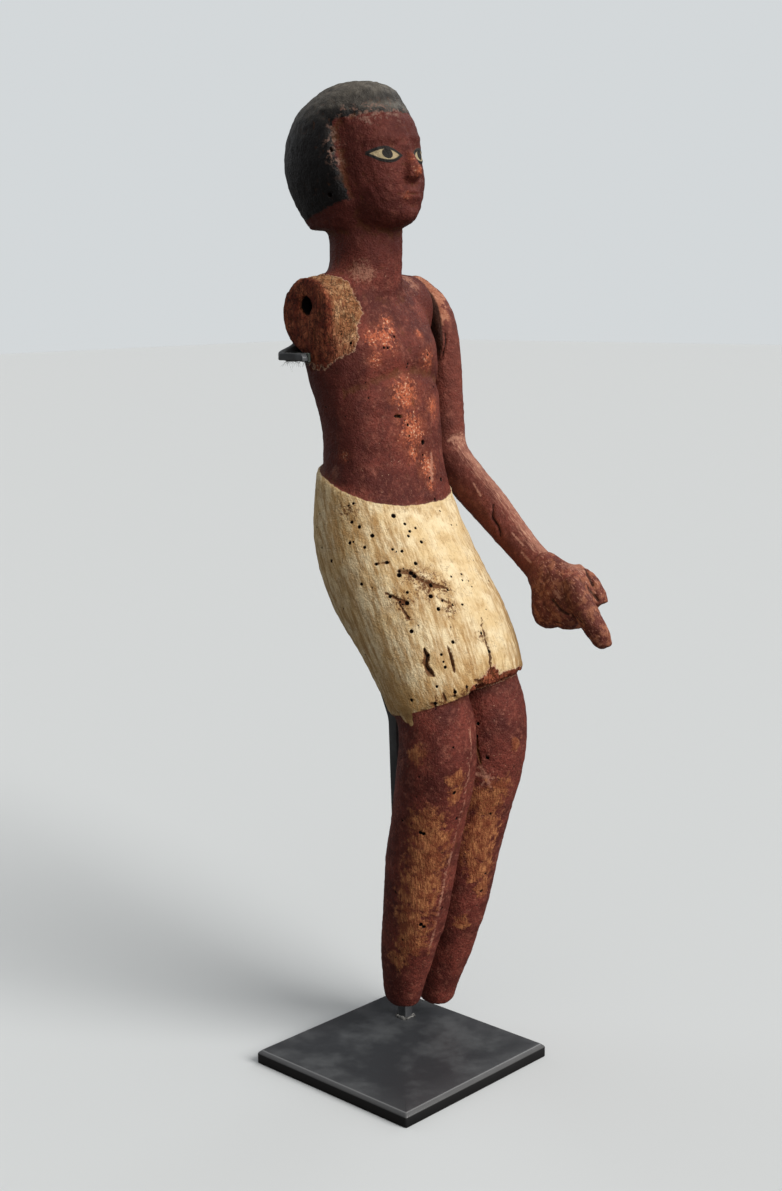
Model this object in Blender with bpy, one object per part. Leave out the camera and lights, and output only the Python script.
"""Carved wooden rower, its right arm and feet lost, held upright by a small steel stand.

Metres, +Z up. The origin is the middle of the plate's underside and the figure faces -Y.
"""

import math

import bmesh
import bpy
import numpy as np
from mathutils import Vector

# Figure
FIGURE_HEIGHT = 0.340
PEG_HOLE_DIAMETER = 0.0056
PEG_HOLE_DEPTH = 0.009
TENON_REACH = 0.004
SHOULDER_GAP = 0.0028

# Stand
PLATE_SIDE = 0.075
PLATE_THICKNESS = 0.005
PLATE_CHAMFER = 0.0012
BAR_SIDE = 0.004
BAR_FROM_LEFT_EDGE = 0.0171
BAR_FROM_BACK_EDGE = 0.0203
STUMP_CLEARANCE = 0.0055
CLAW_THICKNESS = 0.0022
CLAW_TIP_HEIGHT = 0.0026
CLAW_ROOT_HEIGHT = 0.0065
CLAW_LOOP = 0.0050
FELT_THICKNESS = 0.0009
FELT_LAP = 0.0004
BAR_OFF_BACK = 0.0006
TOUCH_GAP = 0.0003
CUT_OVERRUN = 0.003

# Carved sizes are in 340ths of the figure's height, so each is a millimetre at the real size
CARVE = FIGURE_HEIGHT / 340.0

# Where the figure stands: its midline is over the bar, its lowest stump clears the plate
MIDLINE_X = PLATE_SIDE / 2 - BAR_FROM_LEFT_EDGE
BAR_Y = PLATE_SIDE / 2 - BAR_FROM_BACK_EDGE
SOLE_Z = PLATE_THICKNESS + STUMP_CLEARANCE

# Facets
SIDES = 28
FINGER_SIDES = 20
NOSE_SIDES = 12
LIPS_SIDES = 14
ROUND_BAR_SIDES = 20
SHARP_ANGLE = math.radians(40.0)

# Stations of the carving: x, y, z, half width, half depth, squareness.
# The kilt's have two more: its lean to the front and its rise to the left, in degrees.
# x is from the midline, y from the bar's axis, z from the lowest stump.
TRUNK = (
    (0.0, 5.0, 176.0, 26.0, 18.0, 2.3),
    (0.0, 6.6, 190.0, 27.2, 19.4, 2.3),
    (0.0, 7.1, 198.0, 26.0, 18.3, 2.3),
    (0.0, 7.4, 207.0, 24.4, 17.0, 2.3),
    (0.0, 7.8, 217.0, 24.0, 16.6, 2.3),
    (0.0, 9.4, 228.5, 24.8, 17.0, 2.3),
    (0.0, 12.4, 242.0, 26.6, 18.2, 2.3),
    (0.0, 15.0, 252.0, 26.8, 16.8, 2.3),
    (0.0, 17.0, 261.0, 26.0, 14.4, 2.3),
    (0.0, 18.0, 268.0, 21.0, 12.0, 2.2),
)
KILT = (
    (0.0, -27.4, 126.0, 28.2, 19.6, 2.2, 17.0, 5.5),
    (0.0, -24.2, 134.5, 29.0, 20.8, 2.2, 24.0, 4.5),
    (0.0, -14.4, 150.0, 30.0, 22.4, 2.2, 31.0, 2.0),
    (0.0, -1.8, 166.0, 30.6, 23.6, 2.2, 27.0, 0.0),
    (0.0, 5.2, 182.0, 29.6, 22.2, 2.2, 10.0, 0.0),
    (0.0, 6.8, 193.0, 27.8, 20.4, 2.3, -8.0, 0.0),
    (0.0, 7.2, 199.8, 26.5, 19.6, 2.3, -21.0, 0.0),
)
LEG = (
    (14.0, -20.0, 136.0, 13.0, 13.6, 2.1),
    (14.0, -28.6, 122.0, 13.2, 13.4, 2.1),
    (13.9, -30.4, 110.0, 13.4, 13.4, 2.1),
    (13.6, -28.4, 96.0, 13.7, 13.4, 2.1),
    (13.0, -24.4, 80.0, 12.9, 12.7, 2.1),
    (12.2, -20.0, 62.0, 11.8, 13.0, 2.1),
    (12.0, -16.8, 43.0, 10.4, 12.0, 2.1),
    (11.6, -12.6, 25.0, 8.9, 10.6, 2.1),
    (10.8, -9.4, 10.0, 7.2, 8.2, 2.1),
    (10.3, -8.5, 3.0, 6.3, 7.1, 2.1),
    (10.1, -8.3, 0.0, 4.8, 5.4, 2.1),
)
RIGHT_STUMP_RISE = 6.0
LEFT_STUMP_SET_BACK = 2.0
NECK = (
    (0.0, 17.5, 262.0, 17.0, 14.0, 2.1),
    (0.0, 15.5, 271.0, 14.0, 13.2, 2.1),
    (0.0, 14.6, 281.0, 12.8, 12.8, 2.1),
    (0.0, 15.5, 296.0, 13.0, 13.5, 2.1),
    (0.0, 17.0, 305.0, 12.0, 13.0, 2.1),
)
FACE = (
    (0.0, 14.0, 288.0, 8.5, 12.0, 2.1),
    (0.0, 11.6, 291.5, 11.2, 17.5, 2.1),
    (0.0, 11.8, 297.0, 13.8, 20.0, 2.2),
    (0.0, 13.2, 305.0, 15.8, 21.0, 2.3),
    (0.0, 14.6, 314.0, 16.8, 21.2, 2.3),
    (0.0, 16.0, 323.0, 17.0, 20.6, 2.3),
    (0.0, 18.0, 331.0, 15.0, 18.0, 2.2),
    (0.0, 19.0, 336.0, 9.0, 11.0, 2.0),
)
WIG = (
    (0.0, 20.0, 289.0, 15.4, 14.8, 2.4),
    (0.0, 21.0, 298.0, 18.8, 19.8, 2.4),
    (0.0, 21.3, 309.0, 21.6, 24.0, 2.3),
    (0.0, 21.4, 320.0, 21.2, 23.4, 2.2),
    (0.0, 20.2, 329.5, 18.4, 19.8, 2.1),
    (0.0, 17.6, 336.3, 12.6, 14.6, 2.0),
    (0.0, 17.0, 339.2, 7.0, 8.2, 2.0),
    (0.0, 17.0, 340.0, 2.5, 3.0, 2.0),
)
SHOULDER_Z = 259.5
ARM = (
    (35.2, 27.0, SHOULDER_Z + 11.3, 2.4, 2.6, 2.2),
    (35.4, 25.4, SHOULDER_Z + 9.3, 4.6, 5.2, 2.2),
    (35.8, 21.4, SHOULDER_Z + 3.9, 6.6, 7.8, 2.2),
    (35.6, 16.6, SHOULDER_Z - 2.5, 7.2, 9.2, 2.2),
    (35.4, 13.0, SHOULDER_Z - 11.5, 7.1, 9.2, 2.1),
    (35.0, 9.8, 232.0, 6.7, 7.9, 2.1),
    (34.6, 7.8, 217.0, 6.6, 7.0, 2.1),
    (34.6, 6.0, 207.0, 6.8, 6.9, 2.1),
    (34.6, -1.6, 198.0, 7.0, 7.5, 2.1),
    (34.6, -13.0, 188.5, 6.8, 7.2, 2.1),
    (34.6, -24.5, 178.2, 6.1, 6.2, 2.1),
    (34.6, -34.0, 170.5, 5.7, 5.6, 2.1),
    (34.6, -40.0, 166.5, 6.2, 6.4, 2.1),
)
FIST = (
    (34.4, -37.0, 169.5, 5.4, 5.6, 2.2),
    (34.4, -42.5, 164.5, 7.6, 8.4, 2.3),
    (34.4, -48.5, 159.5, 8.6, 11.2, 2.4),
    (34.4, -53.5, 155.5, 8.4, 10.2, 2.5),
    (34.4, -57.0, 153.0, 7.2, 7.8, 2.4),
    (34.4, -59.0, 151.6, 4.6, 5.0, 2.2),
)
HEEL = (
    (34.0, -42.0, 165.0, 6.5, 5.5, 2.2),
    (34.0, -44.5, 156.5, 8.0, 8.2, 2.3),
    (34.0, -45.5, 150.5, 7.6, 7.6, 2.3),
    (34.0, -46.2, 147.4, 4.8, 5.0, 2.1),
    (34.0, -46.4, 146.6, 2.2, 2.4, 2.0),
)
THUMB = (
    (29.4, -55.0, 166.0, 2.6, 3.0, 2.0),
    (28.6, -59.5, 160.0, 3.8, 4.2, 2.1),
    (28.8, -64.0, 153.4, 3.9, 4.3, 2.1),
    (29.4, -68.0, 147.8, 3.6, 4.0, 2.1),
    (30.0, -70.4, 144.2, 2.8, 3.0, 2.0),
    (30.2, -71.2, 143.0, 1.4, 1.6, 2.0),
)
FOREFINGER = (
    (38.4, -50.0, 167.0, 3.0, 3.2, 2.2),
    (38.6, -55.8, 163.8, 3.5, 3.8, 2.3),
    (38.8, -59.4, 159.4, 3.4, 3.6, 2.4),
    (38.8, -61.0, 155.8, 3.2, 3.4, 2.4),
)
NOSE = (
    (0.0, -4.0, 320.0, 1.4, 2.4, 2.0),
    (0.0, -6.0, 314.0, 2.0, 3.2, 2.0),
    (0.0, -8.2, 308.5, 2.9, 4.2, 2.0),
    (0.0, -7.6, 305.6, 2.6, 3.4, 2.0),
    (0.0, -5.8, 304.4, 1.2, 1.6, 2.0),
)
LIPS = (
    (0.0, -6.4, 302.4, 3.6, 1.4, 2.0),
    (0.0, -7.0, 300.8, 4.6, 2.4, 2.0),
    (0.0, -6.8, 299.2, 4.4, 2.4, 2.0),
    (0.0, -6.0, 297.8, 3.2, 1.4, 2.0),
)

# Shoulders: a yoke across the chest with a sawn disc at each end
SHOULDER_HALF_SPAN = 27.3
SHOULDER_Y = 18.6
DISC_HALF_DEPTH = 12.2
DISC_HALF_HEIGHT = 13.2
DISC_RIM = 0.7
NECK_HALF_HEIGHT = 14.8
YOKE_SWELL = 1.6
PEG_RISE = 3.0
PEG_Z = SHOULDER_Z + PEG_RISE

# Flat face sawn on the inner side of the arm: how far it reaches round the peg, and its depth
SAWN_REACH = 22.0
SAWN_DEPTH = 20.0

# Face window of the wig, seen from the side: y, z
WIG_EDGE_FOOT = (4.5, 285.0)
WIG_EDGE_HEAD = (12.5, 325.5)
HAIRLINE_FRONT = (-12.0, 330.5)
WINDOW_REACH = 40.0

# Chip in the front of the hem, between the legs: x, z, and the y it starts and ends at
HEM_NOTCH = (-5.8, 130.4)
HEM_NOTCH_RADIUS = 2.4
HEM_NOTCH_RUN = (-56.0, -41.0)

# Claw: height on the figure, and its turns round the chest in degrees
CLAW_Z = 244.8
CLAW_RIGHT_TURN = 173.0
CLAW_LEFT_TURN = 33.0
CLAW_LOOP_TURN = 149.0
CLAW_LOOP_SPREAD = 9.0
CLAW_STATIONS = 45
CLAW_LEFT_SLIM_TURN = 12.0

# Bar: where it bends to follow the back
BAR_BEND_Z = 112.0
BAR_LEAN = 0.026


def carved(x, y, z):
    """World place of a point given in carving sizes."""
    return (MIDLINE_X + x * CARVE, BAR_Y + y * CARVE, SOLE_Z + z * CARVE)


def carved_points(x, y, z):
    """World places of arrays of carving sizes, one row to a point."""
    return np.stack(carved(x, y, z), axis=1)


def smoothed(stations, steps):
    """Rows through the stations on a Catmull-Rom spline, with steps rows to each span."""
    rows = np.array(stations, dtype=float)
    padded = np.vstack((2 * rows[0] - rows[1], rows, 2 * rows[-1] - rows[-2]))
    result = []
    for i in range(1, len(padded) - 2):
        a, b, c, d = padded[i - 1:i + 3]
        for k in range(steps):
            t = k / steps
            result.append(0.5 * (2 * b + (c - a) * t + (2 * a - 5 * b + 4 * c - d) * t ** 2
                                 + (3 * b - a - 3 * c + d) * t ** 3))
    result.append(rows[-1])
    return np.array(result)


def ring(row, lean, rise, sides):
    """Superellipse across the path: its depth axis tips by the lean, its width axis by the rise."""
    x, y, z, half_width, half_depth, power = row
    turn = np.arange(sides) * 2 * math.pi / sides
    across = half_width * np.sign(np.cos(turn)) * np.abs(np.cos(turn)) ** (2 / power)
    deep = half_depth * np.sign(np.sin(turn)) * np.abs(np.sin(turn)) ** (2 / power)
    height = z - deep * math.sin(lean) + across * math.tan(rise)
    return carved_points(x + across, y + deep * math.cos(lean), height)


def rings_along(stations, steps, upright, sides):
    """Rings of a carved form: square to its path, or level where it is upright."""
    rows = smoothed(stations, steps)
    rises = np.zeros(len(rows))
    if upright:
        leans = np.zeros(len(rows))
    elif rows.shape[1] == 8:
        leans, rises = np.radians(rows[:, 6:]).T
    else:
        slope = np.gradient(rows[:, 1:3], axis=0)
        leans = np.arctan2(slope[:, 0] * np.sign(slope[:, 1]), np.abs(slope[:, 1]))
    return [ring(row[:6], lean, rise, sides) for row, lean, rise in zip(rows, leans, rises)]


def mesh_from_rings(name, rings, collection):
    """Closed solid through rings of equal count, with a flat cap at each end."""
    mesh = bmesh.new()
    loops = [[mesh.verts.new(point) for point in points] for points in rings]
    count = len(loops[0])
    for lower, upper in zip(loops, loops[1:]):
        for i in range(count):
            j = (i + 1) % count
            mesh.faces.new((lower[i], lower[j], upper[j], upper[i]))
    mesh.faces.new(reversed(loops[0]))
    mesh.faces.new(loops[-1])
    bmesh.ops.recalc_face_normals(mesh, faces=mesh.faces)
    data = bpy.data.meshes.new(name)
    mesh.to_mesh(data)
    mesh.free()
    data.shade_smooth()
    data.set_sharp_from_angle(angle=SHARP_ANGLE)
    item = bpy.data.objects.new(name, data)
    collection.objects.link(item)
    return item


def carved_form(name, stations, collection, steps=2, upright=False, sides=SIDES):
    """One carved form of the figure."""
    return mesh_from_rings(name, rings_along(stations, steps, upright, sides), collection)


def combine(target, tool, operation):
    """Exact Boolean of one object by another."""
    step = target.modifiers.new(operation.lower() + "_" + tool.name, "BOOLEAN")
    step.object = tool
    step.operation = operation
    step.solver = "EXACT"


def as_cutter(item):
    """Hide a tool from the build and show it as wire."""
    item.hide_render = True
    item.display_type = "WIRE"


def round_bar(name, diameter, start, end, collection):
    """Round bar between two world places."""
    run = Vector(end) - Vector(start)
    mesh = bmesh.new()
    bmesh.ops.create_cone(mesh, cap_ends=True, segments=ROUND_BAR_SIDES,
                          radius1=diameter / 2, radius2=diameter / 2, depth=run.length)
    data = bpy.data.meshes.new(name)
    mesh.to_mesh(data)
    mesh.free()
    item = bpy.data.objects.new(name, data)
    item.rotation_euler = run.to_track_quat("Z", "Y").to_euler()
    item.location = (Vector(start) + Vector(end)) / 2
    collection.objects.link(item)
    return item


def flat_outline(name, points, half_thickness, collection):
    """Solid of a flat outline: a filled curve with an extrusion, made a mesh."""
    curve = bpy.data.curves.new(name, "CURVE")
    curve.dimensions = "2D"
    curve.fill_mode = "BOTH"
    curve.extrude = half_thickness
    spline = curve.splines.new("POLY")
    spline.points.add(len(points) - 1)
    for point, (u, v) in zip(spline.points, points):
        point.co = (u, v, 0.0, 1.0)
    spline.use_cyclic_u = True
    source = bpy.data.objects.new(name + "_outline", curve)
    collection.objects.link(source)
    evaluated = source.evaluated_get(bpy.context.evaluated_depsgraph_get())
    data = bpy.data.meshes.new_from_object(evaluated)
    bpy.data.objects.remove(source, do_unlink=True)
    welded = bmesh.new()
    welded.from_mesh(data)
    bmesh.ops.remove_doubles(welded, verts=welded.verts, dist=0.00001)
    bmesh.ops.recalc_face_normals(welded, faces=welded.faces)
    welded.to_mesh(data)
    welded.free()
    data.name = name
    item = bpy.data.objects.new(name, data)
    collection.objects.link(item)
    return item


def material(name, colour, roughness, metallic):
    """Plain finish of one sub-part."""
    finish = bpy.data.materials.new(name)
    finish.use_nodes = True
    shader = finish.node_tree.nodes["Principled BSDF"]
    shader.inputs["Base Color"].default_value = (*colour, 1.0)
    shader.inputs["Roughness"].default_value = roughness
    shader.inputs["Metallic"].default_value = metallic
    return finish


def leg_stations(side, rise, set_back):
    """The leg's stations on one side, its stump raised and set back by its own amounts."""
    rows = []
    for x, y, z, half_width, half_depth, power in LEG:
        fall = (1 - z / LEG[0][2]) ** 2
        rows.append((side * x, y + set_back * fall, z + rise * fall, half_width, half_depth, power))
    return rows


def shoulder_rings():
    """Rings across the shoulders, from the right disc to the left one."""
    rings = []
    turn = np.arange(SIDES) * 2 * math.pi / SIDES
    for share in (-1.0, -0.93, -0.7, -0.4, 0.0, 0.4, 0.7, 0.93, 1.0):
        fade = share * share
        half_height = NECK_HALF_HEIGHT + (DISC_HALF_HEIGHT - NECK_HALF_HEIGHT) * fade
        half_depth = DISC_HALF_DEPTH + YOKE_SWELL * (1 - fade)
        if abs(share) == 1.0:
            half_height -= DISC_RIM
            half_depth -= DISC_RIM
        x = np.full(SIDES, share * SHOULDER_HALF_SPAN)
        y = SHOULDER_Y + half_depth * np.cos(turn)
        z = SHOULDER_Z + half_height * np.sin(turn)
        rings.append(carved_points(x, y, z))
    return rings


def wig_window(cutters):
    """Prism that opens the wig for the face, reaching across the head."""
    outline = (WIG_EDGE_FOOT, WIG_EDGE_HEAD, HAIRLINE_FRONT,
               (-WINDOW_REACH, HAIRLINE_FRONT[1]), (-WINDOW_REACH, WIG_EDGE_FOOT[1]))
    points = [carved(0.0, y, z)[1:] for y, z in outline]
    window = flat_outline("wig_window", points, WINDOW_REACH * CARVE, cutters)
    window.rotation_euler = (math.pi / 2, 0.0, math.pi / 2)
    window.location = (MIDLINE_X, 0.0, 0.0)
    return window


def figure_body(parts, cutters):
    """The carved figure: trunk, kilt, legs, shoulders, neck and head in one piece."""
    body = carved_form("figure_body", TRUNK, parts)
    forms = [
        carved_form("kilt_form", KILT, cutters),
        carved_form("right_leg_form", leg_stations(-1.0, RIGHT_STUMP_RISE, 0.0), cutters),
        carved_form("left_leg_form", leg_stations(1.0, 0.0, LEFT_STUMP_SET_BACK), cutters),
        mesh_from_rings("shoulder_form", shoulder_rings(), cutters),
        carved_form("neck_form", NECK, cutters),
        carved_form("face_form", FACE, cutters, upright=True),
    ]
    wig = carved_form("wig_form", WIG, cutters, upright=True)
    window = wig_window(cutters)
    combine(wig, window, "DIFFERENCE")
    forms.append(wig)
    forms.append(carved_form("nose_form", NOSE, cutters, upright=True, sides=NOSE_SIDES))
    forms.append(carved_form("lips_form", LIPS, cutters, upright=True, sides=LIPS_SIDES))
    for form in forms:
        combine(body, form, "UNION")
        as_cutter(form)
    as_cutter(window)

    half_span = SHOULDER_HALF_SPAN * CARVE
    _, peg_y, peg_z = carved(0.0, SHOULDER_Y, PEG_Z)
    right_face = MIDLINE_X - half_span
    left_face = MIDLINE_X + half_span
    peg_hole = round_bar("peg_hole", PEG_HOLE_DIAMETER, (right_face - CUT_OVERRUN, peg_y, peg_z),
                         (right_face + PEG_HOLE_DEPTH, peg_y, peg_z), cutters)
    socket_end = left_face - TENON_REACH - TOUCH_GAP
    socket = round_bar("tenon_socket", PEG_HOLE_DIAMETER, (socket_end, peg_y, peg_z),
                       (left_face + CUT_OVERRUN, peg_y, peg_z), cutters)
    notch_x, notch_z = HEM_NOTCH
    notch_start, notch_end = [carved(notch_x, y, notch_z) for y in HEM_NOTCH_RUN]
    notch = round_bar("hem_notch", 2 * HEM_NOTCH_RADIUS * CARVE, notch_start, notch_end, cutters)
    for cut in (peg_hole, socket, notch):
        combine(body, cut, "DIFFERENCE")
        as_cutter(cut)
    return body


def left_arm(parts, cutters):
    """The separate arm with its fist and the stub tenon that fills the shoulder's socket."""
    arm = carved_form("left_arm", ARM, parts)
    for name, stations in (("fist_form", FIST), ("heel_form", HEEL), ("thumb_form", THUMB),
                           ("forefinger_form", FOREFINGER)):
        form = carved_form(name, stations, cutters, sides=FINGER_SIDES)
        combine(arm, form, "UNION")
        as_cutter(form)

    left_face = MIDLINE_X + SHOULDER_HALF_SPAN * CARVE
    inner_face = left_face + SHOULDER_GAP
    _, peg_y, peg_z = carved(0.0, SHOULDER_Y, PEG_Z)
    mesh = bmesh.new()
    bmesh.ops.create_cube(mesh, size=1.0)
    data = bpy.data.meshes.new("sawn_face")
    sawn = (SAWN_DEPTH * CARVE, 2 * SAWN_REACH * CARVE, 2 * SAWN_REACH * CARVE)
    bmesh.ops.scale(mesh, verts=mesh.verts, vec=sawn)
    mesh.to_mesh(data)
    mesh.free()
    saw = bpy.data.objects.new("sawn_face", data)
    saw.location = (inner_face - SAWN_DEPTH * CARVE / 2, peg_y, peg_z)
    cutters.objects.link(saw)
    combine(arm, saw, "DIFFERENCE")
    as_cutter(saw)

    tenon = round_bar("tenon", PEG_HOLE_DIAMETER - 2 * TOUCH_GAP,
                      (left_face - TENON_REACH, peg_y, peg_z),
                      (inner_face + CUT_OVERRUN, peg_y, peg_z), cutters)
    combine(arm, tenon, "UNION")
    as_cutter(tenon)
    return arm


def base_plate(parts):
    """Square plate with a chamfer round its top edge."""
    mesh = bmesh.new()
    bmesh.ops.create_cube(mesh, size=1.0)
    bmesh.ops.scale(mesh, verts=mesh.verts, vec=(PLATE_SIDE, PLATE_SIDE, PLATE_THICKNESS))
    bmesh.ops.translate(mesh, verts=mesh.verts, vec=(0.0, 0.0, PLATE_THICKNESS / 2))
    middle = PLATE_THICKNESS / 2
    top = [edge for edge in mesh.edges if all(vert.co.z > middle for vert in edge.verts)]
    bmesh.ops.bevel(mesh, geom=top, offset=PLATE_CHAMFER, segments=1, affect="EDGES")
    data = bpy.data.meshes.new("base_plate")
    mesh.to_mesh(data)
    mesh.free()
    plate = bpy.data.objects.new("base_plate", data)
    parts.objects.link(plate)
    return plate


def trunk_section(z):
    """Centre y, half width, half depth and squareness of the trunk at a carving height."""
    rows = smoothed(TRUNK, 8)
    return [np.interp(z, rows[:, 2], rows[:, column]) for column in (1, 3, 4, 5)]


def claw_path(offset):
    """World plan of the claw at an offset from the chest, from its right tip to its left one.

    Turn 90 is the middle of the back and 180 the figure's right side, where it loops outwards.
    """
    centre_y, half_width, half_depth, power = trunk_section(CLAW_Z)
    half_depth = max(half_depth, SHOULDER_Y + DISC_HALF_DEPTH + YOKE_SWELL - centre_y)
    turn = np.radians(claw_turns())
    across = np.sign(np.cos(turn)) * np.abs(np.cos(turn)) ** (2 / power)
    deep = np.abs(np.sin(turn)) ** (2 / power)
    x = MIDLINE_X + half_width * CARVE * across
    y = BAR_Y + (centre_y + half_depth * deep) * CARVE
    normal = np.stack((across / half_width, deep / half_depth), axis=1)
    normal /= np.linalg.norm(normal, axis=1)[:, None]
    bulge = CLAW_LOOP * np.exp(-((claw_turns() - CLAW_LOOP_TURN) / CLAW_LOOP_SPREAD) ** 2)
    return np.stack((x, y), axis=1) + normal * (offset + bulge)[:, None]


def claw_turns():
    """Turns of the claw's stations, in degrees."""
    return np.linspace(CLAW_RIGHT_TURN, CLAW_LEFT_TURN, CLAW_STATIONS)


def strip_round_chest(name, offset, thickness, low, heights, parts):
    """Upright strip that follows the claw's plan, with its own height at each station."""
    rings = []
    for a, b, height in zip(claw_path(offset), claw_path(offset + thickness), heights):
        rings.append(np.array(((*a, low), (*b, low), (*b, low + height), (*a, low + height))))
    return mesh_from_rings(name, rings, parts)


def claw_low():
    """Height of the claw's lower edge."""
    return SOLE_Z + CLAW_Z * CARVE - CLAW_TIP_HEIGHT / 2


def chest_clasp(parts):
    """Flat claw round the chest, slim at its right tip and deeper towards the bar."""
    from_left = claw_turns() - CLAW_LEFT_TURN - CLAW_LEFT_SLIM_TURN
    from_ends = np.minimum(CLAW_LOOP_TURN - claw_turns(), from_left)
    grown = np.clip(from_ends / 2 / CLAW_LOOP_SPREAD, 0.0, 1.0)
    heights = CLAW_TIP_HEIGHT + (CLAW_ROOT_HEIGHT - CLAW_TIP_HEIGHT) * grown
    offset = FELT_THICKNESS + 2 * TOUCH_GAP
    return strip_round_chest("chest_clasp", offset, CLAW_THICKNESS, claw_low(), heights, parts)


def felt_lining(parts):
    """Felt strip between the claw and the chest."""
    heights = np.full(len(claw_turns()), CLAW_TIP_HEIGHT + FELT_LAP)
    return strip_round_chest("felt_lining", TOUCH_GAP, FELT_THICKNESS, claw_low() - FELT_LAP,
                             heights, parts)


def back_line():
    """Hindmost points of the kilt and trunk on the midline, as world y and z."""
    points = []
    for stations in (KILT, TRUNK):
        for loop in rings_along(stations, 2, False, SIDES):
            hind = loop[SIDES // 4]
            points.append((hind[1], hind[2]))
    return points


def taut(points):
    """Hull of y and z points on the side of greater y, from the lowest to the highest."""
    line = []
    for point in sorted(points, key=lambda p: p[1]):
        while len(line) > 1:
            (ya, za), (yb, zb) = line[-2:]
            if (yb - ya) * (point[1] - za) > (point[0] - ya) * (zb - za):
                break
            line.pop()
        line.append(point)
    return line


def upright_bar(parts):
    """Square bar: up from the plate behind the legs, then along the figure's back to the claw."""
    claw_back = claw_path(FELT_THICKNESS + 2 * TOUCH_GAP + CLAW_THICKNESS)[:, 1].max() + TOUCH_GAP
    claw_top = claw_low() + CLAW_ROOT_HEIGHT
    foot = (BAR_Y - BAR_SIDE / 2, PLATE_THICKNESS + TOUCH_GAP)
    bend_z = SOLE_Z + BAR_BEND_Z * CARVE
    bend = (foot[0] + BAR_LEAN * (bend_z - foot[1]), bend_z)
    behind = [(y + BAR_OFF_BACK, z) for y, z in back_line() if bend_z < z < claw_low()]
    front = [foot] + taut([bend] + behind + [(claw_back, claw_low()), (claw_back, claw_top)])
    front = np.array(front)
    run = np.diff(front, axis=0)
    run /= np.linalg.norm(run, axis=1)[:, None]
    side = np.stack((run[:, 1], -run[:, 0]), axis=1)
    corner = np.vstack((side[:1], side[:-1] + side[1:], side[-1:]))
    corner /= np.linalg.norm(corner, axis=1)[:, None]
    reach = BAR_SIDE / np.concatenate(((1.0,), np.sum(corner[1:-1] * side[1:], axis=1), (1.0,)))
    back = front + corner * reach[:, None]
    back[0, 1] = front[0, 1]
    bar = flat_outline("upright_bar", list(front) + list(back[::-1]), BAR_SIDE / 2, parts)
    bar.rotation_euler = (math.pi / 2, 0.0, math.pi / 2)
    bar.location = (MIDLINE_X, 0.0, 0.0)
    return bar


def clear_scene():
    """Start from an empty scene."""
    for item in list(bpy.data.objects):
        bpy.data.objects.remove(item, do_unlink=True)


def main():
    """Build the figure and its stand."""
    clear_scene()
    parts = bpy.data.collections.new("wooden_rower_figure")
    cutters = bpy.data.collections.new("cutters")
    bpy.context.scene.collection.children.link(parts)
    bpy.context.scene.collection.children.link(cutters)
    pieces = (
        (figure_body(parts, cutters), "figure_paint", (0.16, 0.035, 0.022), 0.75, 0.0),
        (left_arm(parts, cutters), "arm_paint", (0.16, 0.035, 0.022), 0.75, 0.0),
        (base_plate(parts), "plate_steel", (0.02, 0.02, 0.022), 0.45, 0.8),
        (upright_bar(parts), "bar_steel", (0.02, 0.02, 0.022), 0.45, 0.8),
        (chest_clasp(parts), "claw_steel", (0.02, 0.02, 0.022), 0.45, 0.8),
        (felt_lining(parts), "felt", (0.03, 0.045, 0.03), 0.95, 0.0),
    )
    for piece, name, colour, roughness, metallic in pieces:
        piece.data.materials.append(material(name, colour, roughness, metallic))


main()
